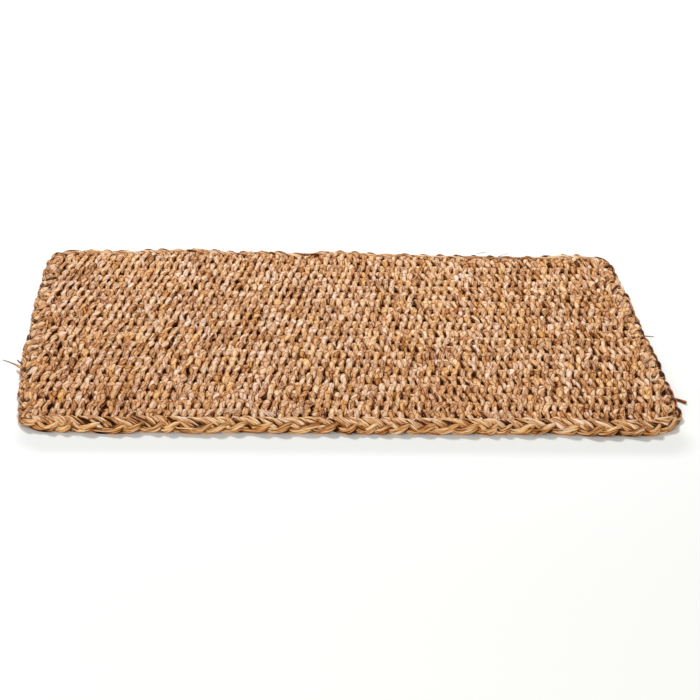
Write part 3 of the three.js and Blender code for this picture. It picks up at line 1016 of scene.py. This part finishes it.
side_rows = []
for changes in SIDE_LUMP_ROWS:
    fold = {**FOLDED_END, **changes}
    place = np.arange(fold["front"], fold["back"], fold["step"])
    count = len(place)
    y = place + chance.normal(0, FOLDED_SPREAD["along"], count)
    inside = fold["inside"] + chance.normal(0, FOLDED_SPREAD["across"], count)
    x = fold["way"] * (RUG_LENGTH / 2 - inside)
    height = fold["height"] + chance.normal(0, FOLDED_SPREAD["height"], count)
    in_turn = 1 - 2 * (np.arange(count) % 2) if fold["way"] > 0 else np.ones(count)
    lean = chance.normal(fold["lean"], FOLDED_SPREAD["lean"], count) * in_turn
    sizes = np.array([fold["long"], fold["wide"], fold["tall"]])[:, None]
    sizes = sizes * chance.normal(1, FOLDED_SPREAD["size"], (3, count))
    looks = np.array([fold["tone"], fold["warmth"]])[:, None]
    looks_spread = np.array([FOLDED_SPREAD["tone"], FOLDED_SPREAD["warmth"]])[:, None]
    looks = looks + looks_spread * chance.normal(0, 1, (2, count))
    side_rows.append(np.vstack([x, y, height, lean, sizes, looks]))
side_rows = np.concatenate(side_rows, axis=1)
side_middle = side_rows[:3].T
side_lean, side_long, side_wide, side_tall, side_tone, side_warmth = side_rows[3:]
side_reach = np.stack([np.sin(side_lean), np.cos(side_lean), np.zeros_like(side_lean)], axis=-1)
side_rings = bent_straws(
    start=side_middle - side_reach * side_long[:, None],
    end=side_middle + side_reach * side_long[:, None],
    bow=chance.normal(*FOLDED_BOW, len(side_lean)),
    half_width=side_wide, half_height=side_tall, blunt=0.6,
    steps=SIDE_LUMP_STEPS, sides=SIDE_LUMP_SIDES,
)
towards_tip = np.linspace(-1, 1, SIDE_LUMP_STEPS) ** 2
side_rings[..., 2] = side_rings[..., 2] - FOLDED_ARCH * towards_tip[None, :, None]
tip_shade = TIP_DARK * smooth_step((towards_tip - TIP_SHADE["start"]) / TIP_SHADE["length"])
side_lumps = cords_piece(
    "side_lumps", settled(off_floor(side_rings)), closed=False,
    tone=side_tone[:, None] - tip_shade, warmth=np.clip(side_warmth, *WARMTH_LIMITS)[:, None],
    girth=0.036, slant=0.12, material=field_straw, groove_shade=0.34,
)
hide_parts("border_plait")


# The stray straws
# Thin pale straws have worked out of the cords and lie over the lumps and the plait, stiff and
# nearly straight. A few thick tufts lie with them, and some ends of cord are frayed.

FIELD_STRAYS = 250
PLAIT_STRAYS = 70

# How the strays lie: the mean and the spread of their turn from the cords' or the plait's
# direction, the limits of their half length, and their height.
FIELD_STRAY = {"turn": (0.30, 0.40), "half_length": (0.008, 0.019), "height": 0.0228}
PLAIT_STRAY = {"turn": (0.85, 0.20), "half_length": (0.010, 0.019), "height": 0.0238}
FRAYED_FIBRE = {"turn": (0.6, 0.8), "half_length": (0.004, 0.010), "height": 0.0238}

# The field's strays stop this far inside the back edge, and the plait's lie between these two
# places across it.
STRAY_BACK_INSET = 0.030
PLAIT_STRAY_ACROSS = (-0.018, 0.010)

# What all strays share: the spread of their slope and their bow, the limits of their half width
# and half height, and the mean and the spread of their tone and warmth.
STRAY_SLOPE = 0.06
STRAY_BOW = 0.0015
STRAY_HALF_WIDTH = (0.0006, 0.0015)
STRAY_MOST_HALF_HEIGHT = 0.0036
STRAY_TONE = (0.86, 0.10)
STRAY_WARMTH = (0.10, 0.25)

# The straws and tufts that show plainly, one by one, all with the same slight bow. "half" is
# half their width.
MARKED_BOW = 0.0012
MARKED_STRAWS = [
    {"start": (-0.4056, -0.5451, 0.0240), "end": (-0.3817, -0.5103, 0.0250),
     "half": 0.0058, "tone": 0.86, "warmth": 0.0},
    {"start": (-0.8950, -0.4640, 0.0125), "end": (-0.8890, -0.4100, 0.0230),
     "half": 0.0066, "tone": 0.62, "warmth": 0.5},
    {"start": (-0.8835, -0.4710, 0.0160), "end": (-0.8770, -0.4170, 0.0245),
     "half": 0.0064, "tone": 0.72, "warmth": 0.2},
    {"start": (-0.8715, -0.4640, 0.0190), "end": (-0.8655, -0.4220, 0.0250),
     "half": 0.0056, "tone": 0.58, "warmth": 0.4},
    {"start": (-0.8580, -0.5110, 0.0225), "end": (-0.8480, -0.4900, 0.0245),
     "half": 0.0052, "tone": 0.74, "warmth": 0.3},
    {"start": (-0.8400, -0.5380, 0.0230), "end": (-0.8240, -0.5230, 0.0245),
     "half": 0.0052, "tone": 0.70, "warmth": 0.5},
    {"start": (-0.8850, -0.2560, 0.0170), "end": (-0.9150, -0.2250, 0.0085),
     "half": 0.0058, "tone": 0.62, "warmth": 0.9},
    {"start": (-0.2500, -0.5230, 0.0245), "end": (-0.2290, -0.5520, 0.0235),
     "half": 0.0022, "tone": 0.92, "warmth": -0.1},
    {"start": (-0.2441, -0.5198, 0.0250), "end": (-0.2214, -0.5500, 0.0235),
     "half": 0.0024, "tone": 0.98, "warmth": -0.2},
    {"start": (-0.2370, -0.5190, 0.0245), "end": (-0.2150, -0.5450, 0.0235),
     "half": 0.0020, "tone": 0.90, "warmth": 0.0},
    {"start": (0.6679, -0.5180, 0.0245), "end": (0.6756, -0.5600, 0.0235),
     "half": 0.0055, "tone": 0.36, "warmth": 0.8},
    {"start": (0.7560, -0.4790, 0.0245), "end": (0.7700, -0.4700, 0.0245),
     "half": 0.0020, "tone": 0.95, "warmth": 0.0},
    {"start": (0.7560, -0.4720, 0.0245), "end": (0.7690, -0.4830, 0.0245),
     "half": 0.0018, "tone": 0.95, "warmth": 0.0},
    {"start": (0.5400, 0.5900, 0.0200), "end": (0.5770, 0.6020, 0.0280),
     "half": 0.0010, "tone": 0.60, "warmth": 0.3},
    {"start": (0.4700, 0.5900, 0.0290), "end": (0.5080, 0.6020, 0.0310),
     "half": 0.0010, "tone": 0.66, "warmth": 0.3},
    {"start": (0.5100, -0.6000, 0.0150), "end": (0.4745, -0.6120, 0.0016),
     "half": 0.0010, "tone": 0.60, "warmth": 0.5},
]

# Where an end of cord has frayed into short pale fibres that stand out to all sides. They are
# strewn within this share of the spot's reach.
FRAYED_SHARE = 0.6
FRAYED_SPOTS = [
    {"place": (-0.332, -0.521), "reach": (0.026, 0.009), "fibres": 34},
    {"place": (-0.231, -0.527), "reach": (0.011, 0.009), "fibres": 14},
    {"place": (-0.152, -0.520), "reach": (0.014, 0.008), "fibres": 12},
    {"place": (0.762, -0.476), "reach": (0.010, 0.010), "fibres": 14},
    {"place": (0.410, -0.520), "reach": (0.016, 0.008), "fibres": 12},
    {"place": (-0.600, -0.525), "reach": (0.014, 0.008), "fibres": 12},
]

stray_x = chance.uniform(-FIELD_HALF_WIDTH, FIELD_HALF_WIDTH, FIELD_STRAYS)
stray_y = chance.uniform(-RUG_DEPTH / 2 + PLAIT_WIDTH, RUG_DEPTH / 2 - STRAY_BACK_INSET, FIELD_STRAYS)
stray_turn = chance.normal(*FIELD_STRAY["turn"], FIELD_STRAYS)
stray_half = chance.uniform(*FIELD_STRAY["half_length"], FIELD_STRAYS)
stray_height = np.full(FIELD_STRAYS, FIELD_STRAY["height"])

plait_line_place, plait_outward = plait_line(chance.uniform(0, 1, PLAIT_STRAYS))
plait_cover = leaning(plait_outward, "cover")
plait_across = chance.uniform(*PLAIT_STRAY_ACROSS, PLAIT_STRAYS)
plait_across = plait_across + (1 - plait_cover) * np.maximum(PLAIT_PIVOT - plait_across, 0)
plait_x, plait_y = (plait_line_place + plait_outward * plait_across[:, None]).T
plait_turn = np.arctan2(-plait_outward[:, 1], plait_outward[:, 0])
plait_turn = plait_turn + chance.normal(*PLAIT_STRAY["turn"], PLAIT_STRAYS)
plait_half = chance.uniform(*PLAIT_STRAY["half_length"], PLAIT_STRAYS)
plait_height = PLAIT_STRAY["height"] * leaning(plait_outward, "rise")

strays = [
    np.stack([stray_x, stray_y, stray_height, stray_turn, stray_half]),
    np.stack([plait_x, plait_y, plait_height, plait_turn, plait_half]),
]
for spot in FRAYED_SPOTS:
    fibres = spot["fibres"]
    strays.append(np.stack([
        spot["place"][0] + chance.normal(0, FRAYED_SHARE * spot["reach"][0], fibres),
        spot["place"][1] + chance.normal(0, FRAYED_SHARE * spot["reach"][1], fibres),
        np.full(fibres, FRAYED_FIBRE["height"]),
        chance.normal(*FRAYED_FIBRE["turn"], fibres),
        chance.uniform(*FRAYED_FIBRE["half_length"], fibres),
    ]))
strays = np.concatenate(strays, axis=1)
stray_middle = strays[:3].T
stray_turn, stray_half = strays[3:]
count = len(stray_turn)
stray_slope = chance.normal(0, STRAY_SLOPE, count)
stray_reach = np.stack([np.sin(stray_turn), np.cos(stray_turn), stray_slope], axis=-1)
stray_reach = stray_reach * stray_half[:, None]


def with_marked(values, label):
    """Values of the random strays, with those of the marked straws after them."""
    return np.concatenate([values, [straw[label] for straw in MARKED_STRAWS]])


stray_width = with_marked(chance.uniform(*STRAY_HALF_WIDTH, count), "half")
stray_bow = chance.normal(0, STRAY_BOW, count)
stray_rings = bent_straws(
    start=with_marked(stray_middle - stray_reach, "start"),
    end=with_marked(stray_middle + stray_reach, "end"),
    bow=np.concatenate([stray_bow, np.full(len(MARKED_STRAWS), MARKED_BOW)]),
    half_width=stray_width,
    half_height=np.minimum(stray_width, STRAY_MOST_HALF_HEIGHT),
    blunt=0.5,
)
stray_tone = with_marked(chance.normal(*STRAY_TONE, count), "tone")
stray_warmth = with_marked(chance.normal(*STRAY_WARMTH, count), "warmth")
loose_straw = straw_material(
    "loose straw", PALE_SHADES, GOLDEN_SHADES,
    roughness=0.60, gloss=0.15, blade_share=0.24, blade_scale=(300, 16),
)
stray_straws = cords_piece(
    "stray_straws", settled(stray_rings), closed=False,
    tone=stray_tone[:, None], warmth=stray_warmth[:, None], girth=0.008, slant=0.05,
    material=loose_straw, groove_shade=0.15,
)


# The loose ends
# Four longer straw ends have worked out of the plait and lie level on the floor beside it, two
# at the left and two at the right. Each is a folded blade of grass, and the thick one spreads.

# "root" and "tip" are their places on the floor. "thick" and "tone" are given at both ends.
LOOSE_ENDS = [
    {"name": "left_long", "root": (-0.8990, -0.2300), "tip": (-0.9658, -0.1680),
     "bow": -0.0110, "thick": (0.0050, 0.0016), "tone": (0.60, 0.80), "warmth": 0.45},
    {"name": "left_short", "root": (-0.8970, -0.2180), "tip": (-0.9240, -0.1680),
     "bow": -0.0020, "thick": (0.0040, 0.0024), "tone": (0.22, 0.34), "warmth": 0.10},
    {"name": "right_thick", "root": (0.8860, -0.3710), "tip": (0.9280, -0.4090),
     "bow": 0.0020, "thick": (0.0050, 0.0098), "tone": (0.44, 0.36), "warmth": 0.90},
    {"name": "right_thin", "root": (0.8876, 0.0340), "tip": (0.9350, 0.0280),
     "bow": 0.0030, "thick": (0.0034, 0.0016), "tone": (0.62, 0.80), "warmth": 0.10},
]
LOOSE_STEPS = 14
LOOSE_SIDES = 12
LOOSE_RELIEF = 0.02

# An end's tip is rounded off over its last tenth, down to this share of its squared thickness.
ROUND_TIP = {"start": 0.90, "length": 0.102, "least": 0.05}

# An end swells a little along its length, is a little flat, and rests on the floor.
SWELLING = {"size": 0.04, "turn": 17}
FLATNESS = 0.92
RESTING_HEIGHT = 0.94

for loose in LOOSE_ENDS:
    share = np.linspace(0, 1, LOOSE_STEPS)
    root, tip = np.array(loose["root"]), np.array(loose["tip"])
    sideways = np.array([root[1] - tip[1], tip[0] - root[0]])
    sideways = sideways / np.linalg.norm(sideways)
    knee = (root + tip) / 2 + sideways * loose["bow"]
    part = share[:, None]
    middle = (1 - part) ** 2 * root + 2 * part * (1 - part) * knee + part**2 * tip
    half = (loose["thick"][0] * (1 - share) + loose["thick"][1] * share) / 2
    into_tip = ((share - ROUND_TIP["start"]) / ROUND_TIP["length"]).clip(0, 1)
    end_round = np.sqrt(np.clip(1 - into_tip**2, ROUND_TIP["least"], 1))
    wide = half * end_round * (1 + SWELLING["size"] * np.sin(share * SWELLING["turn"]))
    centres = np.column_stack([middle, half * RESTING_HEIGHT])[None]
    facing = np.broadcast_to(up, centres.shape)
    rings = straw_rings(
        centres, facing, wide[None], FLATNESS * wide[None], LOOSE_SIDES,
        closed=False, relief=LOOSE_RELIEF,
    )
    tone = (loose["tone"][0] * (1 - share) + loose["tone"][1] * share)[None]
    piece = cords_piece(
        f"loose_straw_{loose['name']}", off_floor(rings), closed=False,
        tone=tone, warmth=loose["warmth"], girth=0.012, slant=0.20,
        material=loose_straw, groove_shade=0.15,
    )
    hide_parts(f"loose_end_{loose['name']}")
